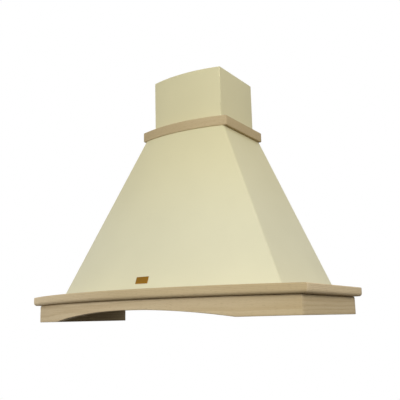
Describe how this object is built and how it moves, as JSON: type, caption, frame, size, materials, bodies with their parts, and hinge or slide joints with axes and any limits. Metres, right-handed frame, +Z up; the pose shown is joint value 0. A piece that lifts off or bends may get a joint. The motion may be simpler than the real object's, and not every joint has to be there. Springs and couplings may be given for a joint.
{
  "type": "range hood",
  "caption": "Wall chimney range hood with a bowed cream canopy, raw wood cap, arched apron and band, sliding chimney, swing-down grease filters, push buttons and blower.",
  "frame": {"origin": "on the wall plane, midway between the two upper wall screws", "axes": "+X along the wall to the right seen from the room, +Y into the wall, +Z up"},
  "size_m": [0.9, 0.5359, 0.762],
  "materials": {
    "raw_wood": "sanded, unfinished pale hardwood",
    "dowel_wood": "plain turned dowel",
    "cream_paint": "satin cream powder coat",
    "galvanised_steel": "galvanised",
    "liner_steel": "brushed",
    "spring_steel": "bright drawn",
    "screw_steel": "zinc plated",
    "filter_aluminium": "satin",
    "filter_mesh": "expanded mesh",
    "brass": "satin, bare",
    "lamp_chrome": "satin chrome",
    "lamp_glass": "frosted",
    "lamp_aluminium": "die cast",
    "fascia_plastic": "fine texture",
    "button_plastic": "semi gloss",
    "black_plastic": "moulded",
    "blower_plastic": "moulded",
    "impeller_plastic": "moulded",
    "flap_plastic": "moulded",
    "motor_steel": "zinc plated",
    "bush_rubber": "soft",
    "capacitor_plastic": "moulded",
    "lead_sheath": "sheathed lead"
  },
  "bodies": {
    "hood": {"apron_front": "raw_wood", "apron_left": "raw_wood", "apron_right": "raw_wood", "cap_front": "raw_wood", "cap_left": "raw_wood", "cap_right": "raw_wood", "rear_batten": "raw_wood", "band_front": "raw_wood", "band_left": "raw_wood", "band_right": "raw_wood", "frame_dowels": "dowel_wood", "canopy_front": "cream_paint", "canopy_left": "cream_paint", "canopy_right": "cream_paint", "lower_chimney": "cream_paint", "rear_panel": "galvanised_steel", "blower_brackets": "galvanised_steel", "motor_spider": "galvanised_steel", "liner_pan": "liner_steel", "filter_clips": "spring_steel", "damper_pin": "spring_steel", "liner_screws": "screw_steel", "collar_screws": "screw_steel", "badge_plate": "brass", "lamp_left_bezel": "lamp_chrome", "lamp_right_bezel": "lamp_chrome", "lamp_left_lens": "lamp_glass", "lamp_right_lens": "lamp_glass", "lamp_left_module": "lamp_aluminium", "lamp_right_module": "lamp_aluminium", "control_fascia": "fascia_plastic", "switch_block": "black_plastic", "electrical_box": "black_plastic", "electrical_box_lid": "black_plastic", "cable_gland": "black_plastic", "blower_housing_left": "blower_plastic", "blower_housing_right": "blower_plastic", "outlet_collar": "blower_plastic", "motor": "motor_steel", "motor_bushes": "bush_rubber", "capacitor": "capacitor_plastic", "inner_leads": "lead_sheath"},
    "upper_chimney": {"upper_chimney": "cream_paint", "chimney_bracket": "galvanised_steel"},
    "filter_left": {"filter_left_frame": "filter_aluminium", "filter_left_mesh": "filter_mesh"},
    "filter_right": {"filter_right_frame": "filter_aluminium", "filter_right_mesh": "filter_mesh"},
    "pull_left": {"filter_left_pull": "spring_steel"},
    "pull_right": {"filter_right_pull": "spring_steel"},
    "impeller": {"impeller": "impeller_plastic", "motor_shaft": "motor_steel"},
    "damper_front": {"damper_flap_front": "flap_plastic"},
    "damper_rear": {"damper_flap_rear": "flap_plastic"},
    "light_button": {"light_button": "button_plastic"},
    "off_button": {"off_button": "button_plastic"},
    "low_speed_button": {"low_speed_button": "button_plastic"},
    "medium_speed_button": {"medium_speed_button": "button_plastic"},
    "high_speed_button": {"high_speed_button": "button_plastic"}
  },
  "joints": [
    {"name": "upper_chimney_slide", "type": "slide", "parent": "hood", "child": "upper_chimney", "axis": [0, 0, 1], "range_m": [0, 0.14]},
    {"name": "impeller_spin", "type": "hinge", "parent": "hood", "child": "impeller", "pos_m": [0, -0.19, -0.182], "axis": [1, 0, 0], "continuous": true},
    {"name": "damper_front_swing", "type": "hinge", "parent": "hood", "child": "damper_front", "pos_m": [0, -0.115, -0.019], "axis": [-1, 0, 0], "range_deg": [0, 78]},
    {"name": "damper_rear_swing", "type": "hinge", "parent": "hood", "child": "damper_rear", "pos_m": [0, -0.115, -0.019], "axis": [1, 0, 0], "range_deg": [0, 78]},
    {"name": "filter_left_swing", "type": "hinge", "parent": "hood", "child": "filter_left", "pos_m": [-0.162, -0.052, -0.4217], "axis": [1, 0, 0], "range_deg": [0, 55]},
    {"name": "pull_left_swing", "type": "hinge", "parent": "filter_left", "child": "pull_left", "pos_m": [-0.162, -0.296, -0.4257], "axis": [1, 0, 0], "range_deg": [-80, 80]},
    {"name": "filter_right_swing", "type": "hinge", "parent": "hood", "child": "filter_right", "pos_m": [0.162, -0.052, -0.4217], "axis": [1, 0, 0], "range_deg": [0, 55]},
    {"name": "pull_right_swing", "type": "hinge", "parent": "filter_right", "child": "pull_right", "pos_m": [0.162, -0.296, -0.4257], "axis": [1, 0, 0], "range_deg": [-80, 80]},
    {"name": "light_press", "type": "slide", "parent": "hood", "child": "light_button", "axis": [0, 0, 1], "range_m": [0, 0.0025], "stiffness_N_per_m": 400, "springref_m": -0.002},
    {"name": "off_press", "type": "slide", "parent": "hood", "child": "off_button", "axis": [0, 0, 1], "range_m": [0, 0.0025], "stiffness_N_per_m": 400, "springref_m": -0.002},
    {"name": "low_speed_press", "type": "slide", "parent": "hood", "child": "low_speed_button", "axis": [0, 0, 1], "range_m": [0, 0.0025], "stiffness_N_per_m": 400, "springref_m": -0.002},
    {"name": "medium_speed_press", "type": "slide", "parent": "hood", "child": "medium_speed_button", "axis": [0, 0, 1], "range_m": [0, 0.0025], "stiffness_N_per_m": 400, "springref_m": -0.002},
    {"name": "high_speed_press", "type": "slide", "parent": "hood", "child": "high_speed_button", "axis": [0, 0, 1], "range_m": [0, 0.0025], "stiffness_N_per_m": 400, "springref_m": -0.002}
  ]
}
